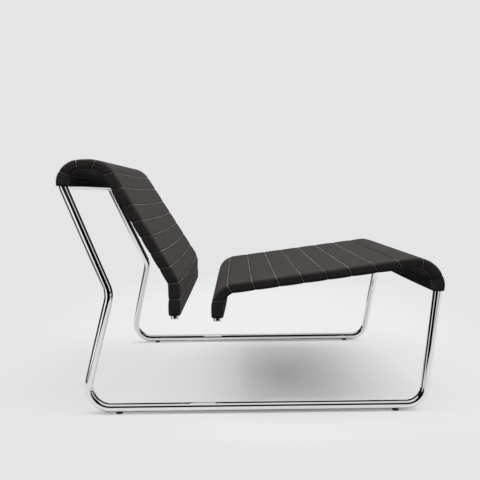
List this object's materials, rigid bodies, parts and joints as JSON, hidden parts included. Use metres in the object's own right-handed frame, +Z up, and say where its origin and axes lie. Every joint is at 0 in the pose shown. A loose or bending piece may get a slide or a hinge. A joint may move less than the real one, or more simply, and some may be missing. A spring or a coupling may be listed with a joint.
{
  "type": "cantilever lounge chair",
  "caption": "Low lounge chair with leaning bent tube side loops and a quilted fabric back and seat that cantilever from them.",
  "frame": {"origin": "on the floor at the middle of the chair's box", "axes": "+X forward, +Y to the sitter's left, +Z up"},
  "size_m": [0.978, 0.6982, 0.6377],
  "materials": {
    "polished_tube": "polished",
    "plain_steel": "satin",
    "glide_nylon": "matte",
    "quilted_fabric": "fine ribbed weave",
    "foam": "open foam"
  },
  "bodies": {
    "root": {"right_side_frame": "polished_tube", "right_back_arm": "polished_tube", "right_back_spigot": "plain_steel", "right_back_set_screw": "plain_steel", "right_back_end_cap": "polished_tube", "right_seat_arm": "polished_tube", "right_seat_spigot": "plain_steel", "right_seat_set_screw": "plain_steel", "right_seat_end_cap": "polished_tube", "right_rear_glide": "glide_nylon", "right_front_glide": "glide_nylon", "left_side_frame": "polished_tube", "left_back_arm": "polished_tube", "left_back_spigot": "plain_steel", "left_back_set_screw": "plain_steel", "left_back_end_cap": "polished_tube", "left_seat_arm": "polished_tube", "left_seat_spigot": "plain_steel", "left_seat_set_screw": "plain_steel", "left_seat_end_cap": "polished_tube", "left_rear_glide": "glide_nylon", "left_front_glide": "glide_nylon", "rear_crossbar": "polished_tube", "front_crossbar": "polished_tube", "back_spreader": "plain_steel", "seat_spreader": "plain_steel", "back_cover": "quilted_fabric", "seat_cover": "quilted_fabric", "back_pad": "foam", "seat_pad": "foam"}
  },
  "joints": []
}
